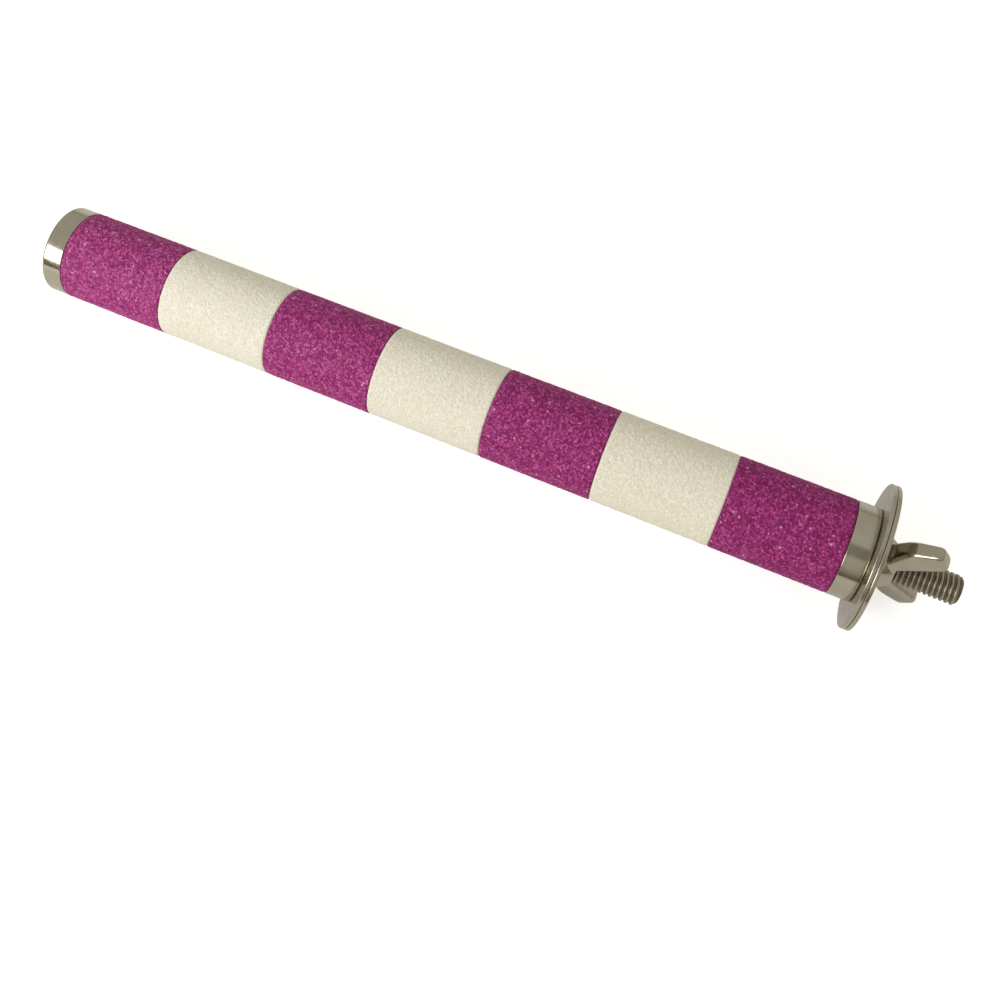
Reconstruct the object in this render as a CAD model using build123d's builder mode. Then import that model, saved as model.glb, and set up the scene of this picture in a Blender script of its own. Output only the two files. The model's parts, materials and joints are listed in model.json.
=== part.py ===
# Bird perch: a grit-coated dowel with a metal cup on each end, clamped to a cage wall by a stud,
# two large washers and a wing nut.
# Frame, in millimetres: X runs along the stick towards the cage wall and Z is up. The origin is the
# middle of the inner washer's outer face, where the cage wires are clamped.
import os

from build123d import *

os.makedirs("parts", exist_ok=True)

# Stick
grip_diameter = 19.0  # over the grit and over the cups, which finish flush
skin_depth = 0.7  # depth of the grit coat, and the sheet of the two cups
bond_line = 0.05  # glue under the coat and the cups and round the screw, on the radius
purple_length = 23.8
cream_length = 24.7
band_colours = ["purple", "cream", "purple", "cream", "purple", "cream", "purple"]  # from the free end

# Drawn cups on the ends of the dowel
cup_length = 4.6
cup_edge_radius = 0.7

# Hanger bolt: wood screw in the dowel, machine thread outside
stud_diameter = 6.0
stud_reach = 18.4  # from the ferrule's end face to the tip
stud_chamfer = 0.7
screw_diameter = 5.2
screw_length = 21.0
screw_point_length = 6.0

# Washers
washer_diameter = 29.4
washer_thickness = 0.9
washer_chamfer = 0.2  # on both sides of the rim
hole_clearance = 0.2  # ferrule and washers round the stud, on the radius

# Wing nut
thread_clearance = 0.05  # nut on the stud, on the radius
hub_base_diameter = 12.4
hub_top_diameter = 8.0
hub_height = 4.2
hub_chamfer = 0.3
bore_chamfer = 0.35  # lead-in at both ends of the thread
wing_span = 27.6
wing_height = 11.7  # from the nut's base to the wing tips
wing_root_thickness = 5.6  # on the stud's axis, inside the hub
wing_tip_thickness = 2.9
wing_edge_share = 0.34  # edge radius over the tip's thickness
wing_root_share = 0.9  # where the wings start, inside the bore, over the stud's radius
wing_root_rise = 0.4  # and above the base
wing_root_width = 3.4  # along the stud there
wing_shoulder_rise = 3.8  # bend in the wing's outer edge, above the base
wing_shoulder_inset = 3.0  # and inside the span
wing_shoulder_radius = 6.0
wing_corner_drop = 2.4  # outer corner below the top of the wings
wing_tip_width = 4.0  # from the outer corner in to the highest one
wing_corner_radius = 0.75

# Places along X
ferrule_face = -washer_thickness
grit_end = ferrule_face - cup_length
grit_length = sum(purple_length if colour == "purple" else cream_length for colour in band_colours)
grit_start = grit_end - grit_length
cap_face = grit_start - cup_length
dowel_start = cap_face + skin_depth
dowel_end = ferrule_face - skin_depth
stud_tip = ferrule_face + stud_reach
nut_base = washer_thickness

# Fits
skin_bore_radius = grip_diameter / 2 - skin_depth
dowel_radius = skin_bore_radius - bond_line
clearance_hole_radius = stud_diameter / 2 + hole_clearance
bore_radius = stud_diameter / 2 + thread_clearance


# Core dowel: plain wood stick with a pilot hole for the screw in its mount end
screw_root = dowel_end - screw_length
with BuildPart() as core_dowel:
    with BuildSketch(Plane.YZ.offset(dowel_start)):
        Circle(dowel_radius)
    extrude(amount=dowel_end - dowel_start)
    pilot_radius = screw_diameter / 2 + bond_line
    with BuildSketch(Plane.XZ):
        with BuildLine():
            Polyline(
                (screw_root - bond_line, 0),
                (screw_root - bond_line + screw_point_length, pilot_radius),
                (dowel_end, pilot_radius),
                (dowel_end, 0),
                close=True,
            )
        make_face()
    revolve(axis=Axis.X, mode=Mode.SUBTRACT)
core_dowel.part.label = "core_dowel"
export_step(core_dowel.part, "parts/core_dowel.step")


# Grit bands: sleeves of coloured sand bonded round the dowel, butted end to end
band_start = grit_start
for place, colour in enumerate(band_colours):
    band_length = purple_length if colour == "purple" else cream_length
    with BuildPart() as grit_band:
        with BuildSketch(Plane.YZ.offset(band_start)):
            Circle(grip_diameter / 2)
            Circle(skin_bore_radius, mode=Mode.SUBTRACT)
        extrude(amount=band_length)
    name = f"{colour}_grit_{place // 2 + 1}"
    grit_band.part.label = name
    export_step(grit_band.part, f"parts/{name}.step")
    band_start += band_length


# End cap: closed drawn cup over the free end
with BuildPart() as end_cap:
    with BuildSketch(Plane.YZ.offset(cap_face)):
        Circle(grip_diameter / 2)
    extrude(amount=cup_length)
    fillet(end_cap.edges().sort_by(Axis.X)[0], cup_edge_radius)
    with BuildSketch(Plane.YZ.offset(dowel_start)):
        Circle(skin_bore_radius)
    extrude(amount=grit_start - dowel_start, mode=Mode.SUBTRACT)
end_cap.part.label = "end_cap"
export_step(end_cap.part, "parts/end_cap.step")


# Mount ferrule: the same cup turned round, with a hole for the stud
with BuildPart() as mount_ferrule:
    with BuildSketch(Plane.YZ.offset(grit_end)):
        Circle(grip_diameter / 2)
    extrude(amount=cup_length)
    fillet(mount_ferrule.edges().sort_by(Axis.X)[-1], cup_edge_radius)
    with BuildSketch(Plane.YZ.offset(grit_end)):
        Circle(skin_bore_radius)
    extrude(amount=dowel_end - grit_end, mode=Mode.SUBTRACT)
    with BuildSketch(Plane.YZ.offset(dowel_end)):
        Circle(clearance_hole_radius)
    extrude(amount=skin_depth, mode=Mode.SUBTRACT)
mount_ferrule.part.label = "mount_ferrule"
export_step(mount_ferrule.part, "parts/mount_ferrule.step")


# Hanger bolt: pointed screw end, a shoulder at the dowel's face, and the stud with a chamfered tip
with BuildPart() as hanger_bolt:
    with BuildSketch(Plane.XZ):
        with BuildLine():
            Polyline(
                (screw_root, 0),
                (screw_root + screw_point_length, screw_diameter / 2),
                (dowel_end, screw_diameter / 2),
                (dowel_end, stud_diameter / 2),
                (stud_tip - stud_chamfer, stud_diameter / 2),
                (stud_tip, stud_diameter / 2 - stud_chamfer),
                (stud_tip, 0),
                close=True,
            )
        make_face()
    revolve(axis=Axis.X)
hanger_bolt.part.label = "hanger_bolt"
export_step(hanger_bolt.part, "parts/hanger_bolt.step")


# Washers: one each side of the clamping plane, punched from sheet with broken edges
for name, washer_back in (("inner_washer", -washer_thickness), ("outer_washer", 0.0)):
    with BuildPart() as washer:
        with BuildSketch(Plane.YZ.offset(washer_back)):
            Circle(washer_diameter / 2)
            Circle(clearance_hole_radius, mode=Mode.SUBTRACT)
        extrude(amount=washer_thickness)
        rims = washer.edges().filter_by(GeomType.CIRCLE).group_by(SortBy.RADIUS)[-1]
        chamfer(rims, washer_chamfer)
    washer.part.label = name
    export_step(washer.part, f"parts/{name}.step")


# Wing nut: tapered hub with two wings that bend up from its foot and thin towards square-cut tips,
# edges rounded as forged. One wing is shaped, then mirrored, and its root ends inside the bore.
hub_top = nut_base + hub_height
wing_top = nut_base + wing_height
wing_foot = nut_base + wing_root_rise
wing_reach = wing_span / 2
wing_root = wing_root_share * stud_diameter / 2
with BuildPart() as wing_nut:
    with BuildSketch(Plane.XZ):
        with BuildLine():
            FilletPolyline(
                (wing_foot, wing_root),
                (nut_base + wing_shoulder_rise, wing_reach - wing_shoulder_inset),
                (wing_top - wing_corner_drop, wing_reach),
                (wing_top, wing_reach - wing_tip_width),
                (wing_foot + wing_root_width, wing_root),
                radius=(0, wing_shoulder_radius, wing_corner_radius, wing_corner_radius, 0),
                close=True,
            )
        make_face()
    extrude(amount=wing_root_thickness / 2, both=True)
    with BuildSketch(Plane.YZ.offset(nut_base)):
        with BuildLine():
            Polyline(
                (wing_root_thickness / 2, 0),
                (wing_tip_thickness / 2, wing_reach),
                (-wing_tip_thickness / 2, wing_reach),
                (-wing_root_thickness / 2, 0),
                close=True,
            )
        make_face()
    extrude(amount=wing_height, mode=Mode.INTERSECT)
    wing_sides = wing_nut.faces().filter_by(GeomType.PLANE).sort_by(SortBy.AREA)[-2:]
    edges_past_root = wing_sides.edges().sort_by(Axis.Z)[2:]
    fillet(edges_past_root, wing_edge_share * wing_tip_thickness)
    mirror(about=Plane.XY)
    with BuildSketch(Plane.XZ):
        with BuildLine():
            Polyline(
                (nut_base, 0),
                (nut_base, hub_base_diameter / 2),
                (hub_top - hub_chamfer, hub_top_diameter / 2),
                (hub_top, hub_top_diameter / 2 - hub_chamfer),
                (hub_top, 0),
                close=True,
            )
        make_face()
    revolve(axis=Axis.X)
    with BuildSketch(Plane.XZ):
        with BuildLine():
            Polyline(
                (nut_base, 0),
                (nut_base, bore_radius + bore_chamfer),
                (nut_base + bore_chamfer, bore_radius),
                (hub_top - bore_chamfer, bore_radius),
                (hub_top, bore_radius + bore_chamfer),
                (hub_top, 0),
                close=True,
            )
        make_face()
    revolve(axis=Axis.X, mode=Mode.SUBTRACT)
wing_nut.part.label = "wing_nut"
export_step(wing_nut.part, "parts/wing_nut.step")
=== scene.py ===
import json
from math import cos, pi, radians, sin

import bmesh
import bpy
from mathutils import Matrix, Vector, noise


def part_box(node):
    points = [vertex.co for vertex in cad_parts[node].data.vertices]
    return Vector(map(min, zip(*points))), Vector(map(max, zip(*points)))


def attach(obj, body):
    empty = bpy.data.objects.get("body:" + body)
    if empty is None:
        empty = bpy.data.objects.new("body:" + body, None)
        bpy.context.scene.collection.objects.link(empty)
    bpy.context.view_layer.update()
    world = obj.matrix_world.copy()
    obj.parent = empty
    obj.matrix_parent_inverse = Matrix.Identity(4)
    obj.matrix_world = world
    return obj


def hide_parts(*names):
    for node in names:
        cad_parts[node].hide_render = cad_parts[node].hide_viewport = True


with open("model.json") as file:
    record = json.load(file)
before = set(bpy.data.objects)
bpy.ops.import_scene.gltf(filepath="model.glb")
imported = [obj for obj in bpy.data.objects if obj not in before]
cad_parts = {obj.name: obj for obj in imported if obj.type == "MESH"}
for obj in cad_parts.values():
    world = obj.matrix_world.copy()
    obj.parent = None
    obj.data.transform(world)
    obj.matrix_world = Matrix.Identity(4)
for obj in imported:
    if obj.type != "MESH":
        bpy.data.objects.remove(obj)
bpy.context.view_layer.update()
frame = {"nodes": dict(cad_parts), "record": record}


# Core dowel: a plain beech stick that carries everything else. It is turned to size, bored at one
# end for the screw, and hidden under the sand and the cups.
mm = 0.001
wood_grain = 0.8 * mm  # width across the grain
grain_squeeze = 0.06  # along the stick, which draws the pattern out into long fibres
pore_depth = 0.1 * mm


def linear(hex_colour):
    """An sRGB hex value as the linear RGBA that a colour socket takes."""
    channels = [int(hex_colour[i:i + 2], 16) / 255 for i in (1, 3, 5)]
    return [c / 12.92 if c <= 0.04045 else ((c + 0.055) / 1.055) ** 2.4 for c in channels] + [1.0]


def add_node(tree, kind, inputs=None, stops=(), **settings):
    """Add a node with its settings, link or set its inputs, and give a colour ramp its stops."""
    node = tree.nodes.new(kind)
    for name, value in settings.items():
        setattr(node, name, value)
    for socket, value in (inputs or {}).items():
        if isinstance(value, bpy.types.NodeSocket):
            tree.links.new(value, node.inputs[socket])
        else:
            node.inputs[socket].default_value = value
    while stops and len(node.color_ramp.elements) < len(stops):
        node.color_ramp.elements.new(1.0)
    for index, (position, colour) in enumerate(stops):
        node.color_ramp.elements[index].position = position
        node.color_ramp.elements[index].color = linear(colour)
    return node


def start_material(name):
    """A new node material, with its tree, its shader and the piece's Object coordinates."""
    material = bpy.data.materials.new(name)
    material.use_nodes = True
    tree = material.node_tree
    place = add_node(tree, "ShaderNodeTexCoord").outputs["Object"]
    return material, tree, tree.nodes["Principled BSDF"], place


# Beech: pale wood with long fine grain, sanded but not varnished, so it is matt
beech, tree, shader, place = start_material("beech, sanded")
along = add_node(tree, "ShaderNodeMapping", {"Vector": place, "Scale": (grain_squeeze, 1.0, 1.0)})
grain = add_node(
    tree, "ShaderNodeTexNoise",
    {"Vector": along.outputs["Vector"], "Scale": 1 / wood_grain, "Detail": 4.0, "Roughness": 0.6},
)
grain_colour = add_node(
    tree, "ShaderNodeValToRGB", {"Fac": grain.outputs["Fac"]},
    stops=[(0.35, "#B98A58"), (0.65, "#DDBB8C")],
)
grain_bump = add_node(
    tree, "ShaderNodeBump",
    {"Height": grain.outputs["Fac"], "Strength": 0.3, "Distance": pore_depth},
)
tree.links.new(grain_colour.outputs["Color"], shader.inputs["Base Color"])
tree.links.new(grain_bump.outputs["Normal"], shader.inputs["Normal"])
shader.inputs["Roughness"].default_value = 0.72
dowel_slots = frame["nodes"]["core_dowel"].data.materials
dowel_slots.clear()
dowel_slots.append(beech)


# Sand bands: coarse quartz sand, dyed purple or left cream, set in binder round the dowel. Each
# grain is a small tilted facet, and each band ends in a shallow groove where the next one butts.
coat_depth = 0.7 * mm
mesh_step = 0.15 * mm
grain_size = 0.4 * mm
grain_rise = 0.08 * mm  # from the lowest grain to the highest
sunk_share = 0.6  # of that rise, below the band's own radius
facet_slope = 0.26  # tilt of a grain's face
crevice_width = 0.28  # over the size of a grain
crevice_depth = 0.07 * mm
joint_width = 0.45 * mm
joint_depth = 0.2 * mm
joint_shade = 0.6  # how far the painted shade of the hollows reaches into the end groove
glint_share = 0.005  # part of the grains with clean faces, low in roughness and painted paler as a glint
falloff_shade_spread = 0.24  # painted shade: the bands are made a little deeper in colour towards the mount, where less light falls
falloff_shade_middle = 0.45  # place in the row, from 0 to 1, where the painted shade leaves the tone as it is
pattern_shift = Vector((37.0, 11.0, 5.0))  # in grains, so that no two bands are alike
chance_key = 7.31  # two keys, so that a grain's tone and its tilt are drawn apart
tilt_key = 3.17


def add_piece(name, shape, material, body, replaced, flat_walls=False):
    """Make an object of a bmesh, smooth shaded, give it its material, tie it to its body and hide
    the CAD node it replaces.
    """
    mesh = bpy.data.meshes.new(name)
    shape.to_mesh(mesh)
    shape.free()
    mesh.materials.append(material)
    mesh.shade_smooth()
    piece = bpy.data.objects.new(name, mesh)
    bpy.context.scene.collection.objects.link(piece)
    if flat_walls:
        piece.modifiers.new("flat walls between rounded edges", "WEIGHTED_NORMAL").weight = 100
    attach(piece, body)
    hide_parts(replaced)


def turned(profile, steps):
    """A closed ring: a profile of (x, radius) points turned once round the stick's axis."""
    shape = bmesh.new()
    corners = [shape.verts.new((x, 0, radius)) for x, radius in profile]
    for a, b in zip(corners, corners[1:] + corners[:1]):
        shape.edges.new((a, b))
    bmesh.ops.spin(
        shape, geom=shape.verts[:] + shape.edges[:], cent=(0, 0, 0), axis=(1, 0, 0),
        angle=2 * pi, steps=steps, use_merge=True,
    )
    bmesh.ops.remove_doubles(shape, verts=shape.verts[:], dist=1e-7)
    bmesh.ops.recalc_face_normals(shape, faces=shape.faces[:])
    return shape


def sand_band(node, seed, falloff_shade):
    """A sleeve broken up into grains, each with its own tone, which a painted shade for the light's
    fall along the stick makes paler or deeper.
    """
    low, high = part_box(node)
    radius = high.z
    inside = radius - coat_depth
    half_way = radius - 0.5 * coat_depth
    length = high.x - low.x
    shape = turned(
        [(low.x, inside), (low.x, radius), (high.x, radius), (high.x, inside)],
        round(2 * pi * radius / mesh_step),
    )
    runs = [
        edge for edge in shape.edges
        if edge.calc_length() > 0.5 * length and edge.verts[0].co.yz.length > half_way
    ]
    cuts = round(length / mesh_step)
    bmesh.ops.subdivide_edges(shape, edges=runs, cuts=cuts, use_grid_fill=True)
    tone = shape.verts.layers.float.new("grain_tone")
    glint = shape.verts.layers.float.new("grain_glint")
    crevice_shade_mask = shape.verts.layers.float.new("grain_crevice_shade")
    for vert in shape.verts:
        across = Vector((0, vert.co.y, vert.co.z))
        if across.length < half_way:
            continue
        out = across.normalized()
        spot = vert.co / grain_size + seed * pattern_shift
        near, centres = noise.voronoi(spot)
        chance = noise.cell_vector(centres[0] * chance_key)
        tilt = noise.cell_vector(centres[0] * tilt_key) - Vector((0.5, 0.5, 0.5))
        lip = min(1.0, (near[1] - near[0]) / crevice_width)
        to_end = min(vert.co.x - low.x, high.x - vert.co.x)
        fall = max(0.0, 1 - to_end / joint_width) ** 2
        lift = grain_rise * (chance.x - sunk_share)
        lift += facet_slope * grain_size * tilt.dot(spot - centres[0])
        lift -= crevice_depth * (1 - lip)
        lift -= joint_depth * fall
        vert.co += out * lift
        # painted shade: the tone is shifted deeper towards the mount end, where less light falls
        vert[tone] = chance.y + falloff_shade
        # grains with clean faces: low in roughness, and painted paler as a glint
        vert[glint] = 1.0 if chance.z < glint_share else 0.0
        # painted shade: the hollows between grains and the end grooves take the darker colour
        vert[crevice_shade_mask] = lip * (1 - joint_shade * fall)
    return shape


# Dyed or plain quartz in binder: every grain has its own tone, painted shade darkens the hollows
# between grains and the end grooves, and a few grains with clean faces are smoother and painted
# paler, a painted glint. The fine bump is the broken face of a grain.
fracture_size = 0.18 * mm
fracture_depth = 0.06 * mm
sand_roughness = 0.62
glint_roughness = 0.16


def sand_material(name, crevice_shade, dark, middle, light, glassy_and_glint):
    material, tree, shader, place = start_material(name)
    tone = add_node(tree, "ShaderNodeAttribute", attribute_name="grain_tone").outputs["Fac"]
    glint = add_node(tree, "ShaderNodeAttribute", attribute_name="grain_glint").outputs["Fac"]
    crevice_shade_mask = add_node(tree, "ShaderNodeAttribute", attribute_name="grain_crevice_shade").outputs["Fac"]
    grain_colour = add_node(
        tree, "ShaderNodeValToRGB", {"Fac": tone},
        stops=[(0.05, dark), (0.5, middle), (0.95, light)],
    )
    # painted glint: the grains with clean faces are painted paler, on top of their lower roughness
    bright = add_node(
        tree, "ShaderNodeMix",
        {"Factor": glint, "A": grain_colour.outputs["Color"], "B": linear(glassy_and_glint)},
        data_type="RGBA",
    )
    # painted shade: the colour turns darker in the hollows between grains and in the end grooves
    shade = add_node(
        tree, "ShaderNodeMix",
        {"Factor": crevice_shade_mask, "A": linear(crevice_shade), "B": bright.outputs["Result"]},
        data_type="RGBA",
    )
    gloss = add_node(
        tree, "ShaderNodeMapRange",
        {"Value": glint, "To Min": sand_roughness, "To Max": glint_roughness},
    )
    fracture = add_node(
        tree, "ShaderNodeTexNoise", {"Vector": place, "Scale": 1 / fracture_size, "Detail": 3.0}
    )
    bump = add_node(
        tree, "ShaderNodeBump",
        {"Height": fracture.outputs["Fac"], "Strength": 0.5, "Distance": fracture_depth},
    )
    tree.links.new(shade.outputs["Result"], shader.inputs["Base Color"])
    tree.links.new(gloss.outputs["Result"], shader.inputs["Roughness"])
    tree.links.new(bump.outputs["Normal"], shader.inputs["Normal"])
    shader.inputs["Specular IOR Level"].default_value = 0.28
    return material


sands = {
    "purple": sand_material(
        "quartz sand, dyed purple", crevice_shade="#6E1450", dark="#84125C", middle="#BD3C8F",
        light="#DC6AB0", glassy_and_glint="#E9ACD2",
    ),
    "cream": sand_material(
        "quartz sand, cream", crevice_shade="#E4DFC9", dark="#F0EBD7", middle="#F9F5E6",
        light="#FEFCF2", glassy_and_glint="#FFFFFF",
    ),
}
perch_nodes = frame["record"]["behaviour"]["bodies"]["perch"]
bands = [node for node in perch_nodes if "_grit_" in node]  # from the free end to the mount
for place_in_row, node in enumerate(bands):
    colour = node.split("_")[0]
    # painted shade: deeper tone towards the mount end, where less light falls
    falloff_shade = falloff_shade_spread * (falloff_shade_middle - place_in_row / (len(bands) - 1))
    coat = sand_band(node, place_in_row + 1, falloff_shade)
    add_piece(f"{node}_coat", coat, sands[colour], "perch", node)


# End cups: drawn from thin steel sheet, nickel plated and pressed over the ends of the dowel,
# flush with the sand. The mount end has a hole for the stud.
ring_steps = 160
cup_wall = 0.7 * mm
cap_corner = 0.7 * mm
ferrule_corner = 0.35 * mm  # pressed tighter where the washer seats
mouth_round = 0.16 * mm
stud_hole = 3.2 * mm
same_place = 0.001 * mm  # two points this close count as one place


def round_rim(shape, reach, width, segments, at=None):
    """Round the circular edges of one radius, at one place on the axis or wherever they are."""
    rim = [
        edge for edge in shape.edges
        if all(abs(vert.co.yz.length - reach) < same_place for vert in edge.verts)
        and abs(edge.verts[0].co.x - edge.verts[1].co.x) < same_place
        and (at is None or abs(edge.verts[0].co.x - at) < same_place)
    ]
    bmesh.ops.bevel(
        shape, geom=rim, offset=width, offset_type="OFFSET", affect="EDGES", segments=segments,
        profile=0.5, material=-1,
    )


def cup(node, face_side, hole, corner):
    """A cup with its closed face at one end of its box, rounded there and eased at the mouth."""
    low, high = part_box(node)
    face, mouth = (low.x, high.x) if face_side < 0 else (high.x, low.x)
    inside = face - face_side * cup_wall
    radius = high.z
    shape = turned(
        [(face, hole), (face, radius), (mouth, radius), (mouth, radius - cup_wall),
         (inside, radius - cup_wall), (inside, hole)],
        ring_steps,
    )
    round_rim(shape, radius, corner, 8, at=face)
    round_rim(shape, radius, mouth_round, 3, at=mouth)
    return shape


# Bright nickel plate: a warm grey mirror, clouded a little by handling, with faint lines from the
# tool that formed it
tool_line = 0.3 * mm
tool_line_depth = 0.02 * mm


def nickel_material(name, tints, clean, clouded, cloud_size, line_stretch=(1.0, 1.0, 1.0)):
    material, tree, shader, place = start_material(name)
    cloud = add_node(
        tree, "ShaderNodeTexNoise",
        {"Vector": place, "Scale": 1 / cloud_size, "Detail": 5.0, "Roughness": 0.6},
    )
    gloss = add_node(
        tree, "ShaderNodeMapRange",
        {"Value": cloud.outputs["Fac"], "From Min": 0.35, "From Max": 0.7,
         "To Min": clean, "To Max": clouded},
    )
    tint = add_node(
        tree, "ShaderNodeValToRGB", {"Fac": cloud.outputs["Fac"]},
        stops=[(0.3, tints[0]), (0.7, tints[1])],
    )
    drawn = add_node(tree, "ShaderNodeMapping", {"Vector": place, "Scale": line_stretch})
    lines = add_node(
        tree, "ShaderNodeTexNoise",
        {"Vector": drawn.outputs["Vector"], "Scale": 1 / tool_line, "Detail": 2.0},
    )
    bump = add_node(
        tree, "ShaderNodeBump",
        {"Height": lines.outputs["Fac"], "Strength": 0.06, "Distance": tool_line_depth},
    )
    tree.links.new(tint.outputs["Color"], shader.inputs["Base Color"])
    tree.links.new(gloss.outputs["Result"], shader.inputs["Roughness"])
    tree.links.new(bump.outputs["Normal"], shader.inputs["Normal"])
    shader.inputs["Metallic"].default_value = 1.0
    return material


cup_nickel = nickel_material(
    "bright nickel plate, drawn", ("#ADA795", "#B7B1A0"), clean=0.10, clouded=0.2,
    cloud_size=3 * mm, line_stretch=(0.08, 1.0, 1.0),
)
cap_shape = cup("end_cap", -1, 0.0, cap_corner)
add_piece("plated_end_cap", cap_shape, cup_nickel, "perch", "end_cap", True)
ferrule_shape = cup("mount_ferrule", 1, stud_hole, ferrule_corner)
add_piece("plated_ferrule", ferrule_shape, cup_nickel, "perch", "mount_ferrule", True)


# Hanger bolt: rolled steel, plated, with a wood screw in the dowel and an M6 machine thread
# outside. Both threads are right-handed, and the stud's tip is chamfered.
bolt_low, bolt_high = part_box("hanger_bolt")
dowel_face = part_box("core_dowel")[1].x
turn_steps = 56
run_out = 1.5  # turns wound past each end, before the thread is cut square there
half_crest = 0.16  # over the pitch, and so is the next one
stud_depth = 0.4
stud_radius = bolt_high.z
stud_pitch = 1.0 * mm
stud_root = stud_radius - stud_depth * stud_pitch
stud_flank = 0.25 * stud_pitch
stud_crest = stud_radius - 0.02 * mm  # just inside the stud's outline
tip_chamfer = 0.7 * mm
screw_radius = 2.6 * mm
screw_root = 0.7 * screw_radius
screw_pitch = 2.4 * mm
screw_flank = 0.4 * mm
screw_point = 6.0 * mm
blunt_share = 0.02  # radius of the screw's very tip, over the screw's


def wind(profile, closed, start, end, pitch):
    """Wind a profile of (x, radius) points right-handed round the axis, cut square at both ends."""
    thread = bmesh.new()
    turns = int((end - start) / pitch) + round(2 * run_out)
    points = [
        thread.verts.new((start - run_out * pitch + x, 0, radius)) for x, radius in profile
    ]
    following = points[1:] + points[:1] if closed else points[1:]
    for a, b in zip(points, following):
        thread.edges.new((a, b))
    bmesh.ops.subdivide_edges(thread, edges=thread.edges[:], cuts=1)
    bmesh.ops.spin(
        thread, geom=thread.verts[:] + thread.edges[:], cent=(0, 0, 0), axis=(1, 0, 0),
        dvec=(pitch / turn_steps, 0, 0), angle=2 * pi * turns, steps=turn_steps * turns,
        use_merge=False,
    )
    bmesh.ops.remove_doubles(thread, verts=thread.verts[:], dist=1e-7)
    for x, side in ((start, -1), (end, 1)):
        cut = bmesh.ops.bisect_plane(
            thread, geom=thread.verts[:] + thread.edges[:] + thread.faces[:], dist=1e-8,
            plane_co=(x, 0, 0), plane_no=(side, 0, 0), clear_outer=True,
        )
        rim = [item for item in cut["geom_cut"] if isinstance(item, bmesh.types.BMEdge)]
        bmesh.ops.edgenet_fill(thread, edges=rim)
    bmesh.ops.recalc_face_normals(thread, faces=thread.faces[:])
    return thread


def threaded_rod(start, end, crest, root, pitch, flank, envelope):
    """A rod with a thread between two places on the axis, held inside an envelope radius."""
    middle = 0.5 * pitch
    flat = half_crest * pitch
    profile = [
        (0.0, root), (middle - flat - flank, root), (middle - flat, crest),
        (middle + flat, crest), (middle + flat + flank, root), (pitch, root),
    ]
    rod = wind(profile, False, start, end, pitch)
    for vert in rod.verts:
        reach = vert.co.yz.length
        limit = envelope(vert.co.x)
        if reach > limit:
            vert.co.yz *= limit / reach
    return rod


def join(shape, part):
    """Take a second bmesh into a first one."""
    scrap = bpy.data.meshes.new("scrap")
    part.to_mesh(scrap)
    part.free()
    shape.from_mesh(scrap)
    bpy.data.meshes.remove(scrap)


bolt_shape = threaded_rod(
    dowel_face, bolt_high.x, stud_crest, stud_root, stud_pitch, stud_flank,
    lambda x: stud_radius - tip_chamfer + (bolt_high.x - x),
)
screw_shape = threaded_rod(
    bolt_low.x, dowel_face, screw_radius, screw_root, screw_pitch, screw_flank,
    lambda x: screw_radius * min(1.0, blunt_share + (x - bolt_low.x) / screw_point),
)
join(bolt_shape, screw_shape)

# Plated thread: the colour is darker at the roots and paler at the crests, and dust and oil make
# the gloss uneven
dust_patch = 0.8 * mm
thread_nickel, tree, shader, place = start_material("nickel plate, rolled thread")
axes = add_node(tree, "ShaderNodeSeparateXYZ", {"Vector": place})
across = add_node(
    tree, "ShaderNodeCombineXYZ", {"Y": axes.outputs["Y"], "Z": axes.outputs["Z"]}
)
reach = add_node(tree, "ShaderNodeVectorMath", {0: across.outputs["Vector"]}, operation="LENGTH")
height = add_node(
    tree, "ShaderNodeMapRange",
    {"Value": reach.outputs["Value"], "From Min": stud_root, "From Max": stud_radius},
)
thread_colour = add_node(
    tree, "ShaderNodeValToRGB", {"Fac": height.outputs["Result"]},
    stops=[(0.0, "#726A5B"), (0.5, "#877F6F"), (1.0, "#A59E8D")],
)
dust = add_node(
    tree, "ShaderNodeTexNoise", {"Vector": place, "Scale": 1 / dust_patch, "Detail": 4.0}
)
thread_gloss = add_node(
    tree, "ShaderNodeMapRange", {"Value": dust.outputs["Fac"], "To Min": 0.3, "To Max": 0.5}
)
tree.links.new(thread_colour.outputs["Color"], shader.inputs["Base Color"])
tree.links.new(thread_gloss.outputs["Result"], shader.inputs["Roughness"])
shader.inputs["Metallic"].default_value = 1.0
add_piece(
    "threaded_hanger_bolt", bolt_shape, thread_nickel, "perch", "hanger_bolt"
)


# Washers: two large discs punched from sheet, tumbled so that the rims are round, and nickel
# plated. The cage wires are pinched between them.
rim_round = 0.24 * mm
hole_round = 0.08 * mm
seat_gap = 0.01 * mm  # a hair of air at each face, so the loose washers turn freely


def washer(node):
    """A disc with a clearance hole, its rims rounded."""
    low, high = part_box(node)
    back = low.x + seat_gap
    front = high.x - seat_gap
    shape = turned(
        [(back, stud_hole), (back, high.z), (front, high.z), (front, stud_hole)], ring_steps
    )
    round_rim(shape, high.z, rim_round, 4)
    round_rim(shape, stud_hole, hole_round, 2)
    return shape


washer_nickel = nickel_material(
    "bright nickel plate, tumbled", ("#A8A190", "#B4AE9D"), clean=0.16, clouded=0.3,
    cloud_size=4 * mm,
)
for node in ("inner_washer", "outer_washer"):
    add_piece(f"plated_{node}", washer(node), washer_nickel, node, node, True)


# Wing nut: forged in one piece, tumbled and nickel plated, so every edge and root is soft. Its
# bore is threaded to run on the stud, and it is turned by hand.
forged_cell = 0.14 * mm
soften_passes = 40
hub_height = 4.2 * mm
lead_in = 0.3 * mm
ridge_tip = stud_root + 0.08 * mm
ridge_base = stud_radius + 0.13 * mm  # sunk into the wall of the bore
half_tip = 0.05 * stud_pitch
half_base = 0.3 * stud_pitch


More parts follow.
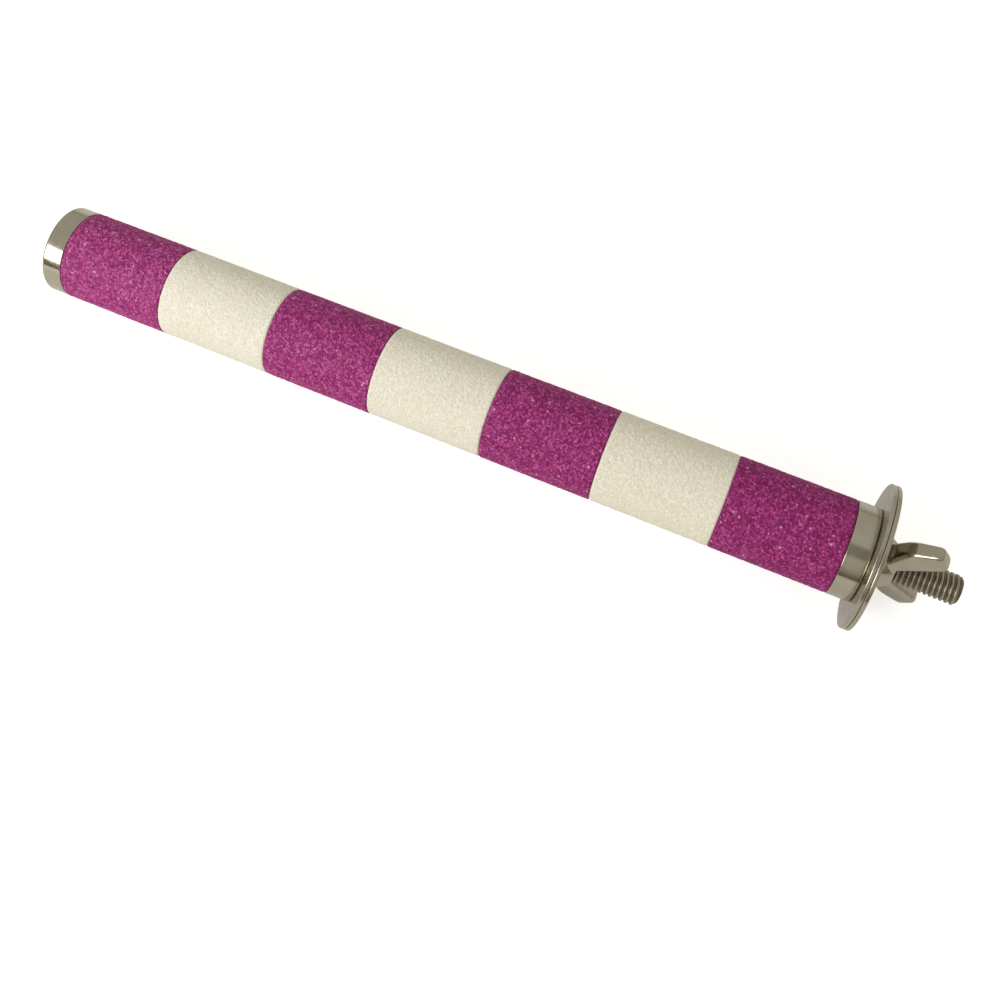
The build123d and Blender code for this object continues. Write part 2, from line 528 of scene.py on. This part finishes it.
def softened_copy(node):
    """The node's solid, remeshed evenly and smoothed so that its edges and roots turn soft."""
    source = bmesh.new()
    source.from_mesh(frame["nodes"][node].data)
    bmesh.ops.remove_doubles(source, verts=source.verts[:], dist=1e-7)
    mesh = bpy.data.meshes.new("rough_forging")
    source.to_mesh(mesh)
    source.free()
    rough = bpy.data.objects.new("rough_forging", mesh)
    bpy.context.scene.collection.objects.link(rough)
    remesh = rough.modifiers.new("even cells", "REMESH")
    remesh.mode = "VOXEL"
    remesh.voxel_size = forged_cell
    view_layer = bpy.context.evaluated_depsgraph_get()
    even = bpy.data.meshes.new_from_object(rough.evaluated_get(view_layer))
    shape = bmesh.new()
    shape.from_mesh(even)
    for _ in range(soften_passes):
        bmesh.ops.smooth_vert(
            shape, verts=shape.verts[:], factor=0.5,
            use_axis_x=True, use_axis_y=True, use_axis_z=True,
        )
    bpy.data.objects.remove(rough)
    bpy.data.meshes.remove(mesh)
    bpy.data.meshes.remove(even)
    return shape


forged_nickel = nickel_material(
    "bright nickel plate, forged", ("#A79F8D", "#B4AC9A"), clean=0.12, clouded=0.26,
    cloud_size=2.5 * mm,
)
nut_shape = softened_copy("wing_nut")
nut_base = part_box("wing_nut")[0].x
bore_start = nut_base + lead_in
bore_end = nut_base + hub_height - lead_in
groove = (dowel_face - bore_start) % stud_pitch  # the stud's groove, which the ridge runs in
ridge = [
    (groove - half_base, ridge_base), (groove - half_tip, ridge_tip),
    (groove + half_tip, ridge_tip), (groove + half_base, ridge_base),
]
join(nut_shape, wind(ridge, True, bore_start, bore_end, stud_pitch))
add_piece("forged_wing_nut", nut_shape, forged_nickel, "wing_nut", "wing_nut")


# Floor: one plain sheet of white card. The perch lies on the washer's rim and the end cap, so the
# card is tilted a little against its axis. It glows a little, so that it looks white and still
# keeps the soft shadow.
cap_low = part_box("end_cap")[0]
washer_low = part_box("inner_washer")[0]
floor_slope = (cap_low.z - washer_low.z) / (cap_low.x - washer_low.x)
floor_width = 4.0
floor_drop = 0.05 * mm
card_fibre = 2 * mm
card_glow = 0.6
card_glow_in_metal = 0.1  # less, because the metal is to look no paler than plated steel


def seen_share(tree, by_camera, in_metal):
    """One share for what the camera sees for itself, and another for what the metal mirrors."""
    rays = add_node(tree, "ShaderNodeLightPath").outputs
    mirrored = add_node(
        tree, "ShaderNodeMath", {0: rays["Is Glossy Ray"], 1: rays["Is Transmission Ray"]},
        operation="MAXIMUM",
    )
    mirrored_share = add_node(
        tree, "ShaderNodeMath", {0: mirrored.outputs["Value"], 1: in_metal}, operation="MULTIPLY"
    )
    share = add_node(
        tree, "ShaderNodeMath",
        {0: rays["Is Camera Ray"], 1: by_camera, 2: mirrored_share.outputs["Value"]},
        operation="MULTIPLY_ADD",
    )
    return share.outputs["Value"]


card_paper, tree, shader, place = start_material("white card")
fibre = add_node(
    tree, "ShaderNodeTexNoise", {"Vector": place, "Scale": 1 / card_fibre, "Detail": 3.0}
)
paper_colour = add_node(
    tree, "ShaderNodeValToRGB", {"Fac": fibre.outputs["Fac"]},
    stops=[(0.3, "#EFEEEC"), (0.7, "#F4F3F1")],
)
glow = seen_share(tree, card_glow, card_glow_in_metal)
tree.links.new(paper_colour.outputs["Color"], shader.inputs["Base Color"])
tree.links.new(glow, shader.inputs["Emission Strength"])
shader.inputs["Emission Color"].default_value = linear("#FFFFFF")
shader.inputs["Roughness"].default_value = 0.9
shader.inputs["Specular IOR Level"].default_value = 0.1

floor_shape = bmesh.new()
bmesh.ops.create_grid(floor_shape, x_segments=1, y_segments=1, size=floor_width / 2)
for vert in floor_shape.verts:
    vert.co.z = washer_low.z + floor_slope * (vert.co.x - washer_low.x) - floor_drop
floor_mesh = bpy.data.meshes.new("white_card")
floor_shape.to_mesh(floor_mesh)
floor_shape.free()
floor_mesh.materials.append(card_paper)
floor = bpy.data.objects.new("white_card", floor_mesh)
bpy.context.scene.collection.objects.link(floor)


# Studio: even grey light from all round, dimmer and warmer low down at the front, with one dim
# patch overhead, as the plated parts mirror them. Past the card the background is plain white.
bright_side = Vector((0.0, 0.12, 1.0))
darkest_level = -0.1
dim_patch_side = Vector((0.14, -0.38, 0.91)).normalized()
dim_patch_edge = cos(radians(17))
dim_patch_core = cos(radians(10))
dim_patch_share = 0.55
white_past_card = 1.0
white_in_metal = 0.04
world = bpy.data.worlds.new("studio")
bpy.context.scene.world = world
world.use_nodes = True
tree = world.node_tree
direction = add_node(tree, "ShaderNodeTexCoord").outputs["Generated"]
level = add_node(
    tree, "ShaderNodeVectorMath", {0: direction, 1: bright_side}, operation="DOT_PRODUCT"
)
rise = add_node(
    tree, "ShaderNodeMapRange", {"Value": level.outputs["Value"], "From Min": darkest_level}
)
walls = add_node(
    tree, "ShaderNodeValToRGB", {"Fac": rise.outputs["Result"]},
    stops=[(0.0, "#624B2F"), (0.18, "#A19584"), (0.36, "#C4C0B7"), (1.0, "#CDCBC5")],
)
facing = add_node(
    tree, "ShaderNodeVectorMath", {0: direction, 1: dim_patch_side}, operation="DOT_PRODUCT"
)
dim_patch = add_node(
    tree, "ShaderNodeMapRange",
    {"Value": facing.outputs["Value"], "From Min": dim_patch_edge, "From Max": dim_patch_core,
     "To Max": dim_patch_share},
    interpolation_type="SMOOTHSTEP",
)
dimmed = add_node(
    tree, "ShaderNodeMix",
    {"Factor": dim_patch.outputs["Result"], "A": walls.outputs["Color"], "B": linear("#4A4038")},
    data_type="RGBA",
)
background = add_node(
    tree, "ShaderNodeMix",
    {"Factor": seen_share(tree, white_past_card, white_in_metal),
     "A": dimmed.outputs["Result"], "B": linear("#FFFFFF")},
    data_type="RGBA",
)
tree.links.new(background.outputs["Result"], tree.nodes["Background"].inputs["Color"])
tree.nodes["Background"].inputs["Strength"].default_value = 1.0


# Window: one soft panel of daylight at the front left, a little above the perch and turned
# towards its free end
window_aim = Vector((-0.177, 0.0, 0.0))
window_side = Vector((-0.51, -0.69, 0.51))
window_distance = 0.62
window_place = window_aim + window_distance * window_side
window = bpy.data.lights.new("window", "AREA")
window.shape = "RECTANGLE"
window.size = 0.39
window.size_y = 0.3
window.energy = 2.5
window_object = bpy.data.objects.new("window", window)
window_object.location = window_place
window_object.rotation_euler = (window_aim - window_place).to_track_quat("-Z", "Y").to_euler()
bpy.context.scene.collection.objects.link(window_object)


# Camera: the photograph's view, from high on the front right, taken close with a normal lens
view_azimuth = radians(23.03)
view_elevation = radians(62.46)
view_distance = 0.2533
view_aim = Vector((-0.0819, 0.0115, 0.0))
towards_camera = Vector((
    sin(view_azimuth) * cos(view_elevation),
    -cos(view_azimuth) * cos(view_elevation),
    sin(view_elevation),
))
lens = bpy.data.cameras.new("camera")
lens.sensor_width = 36.0
lens.lens = 43.8
lens.shift_y = -0.14
camera = bpy.data.objects.new("camera", lens)
camera.location = view_aim + view_distance * towards_camera
camera.rotation_euler = (-towards_camera).to_track_quat("-Z", "Y").to_euler()
bpy.context.scene.collection.objects.link(camera)
bpy.context.scene.camera = camera
bpy.context.scene.view_settings.view_transform = "Standard"
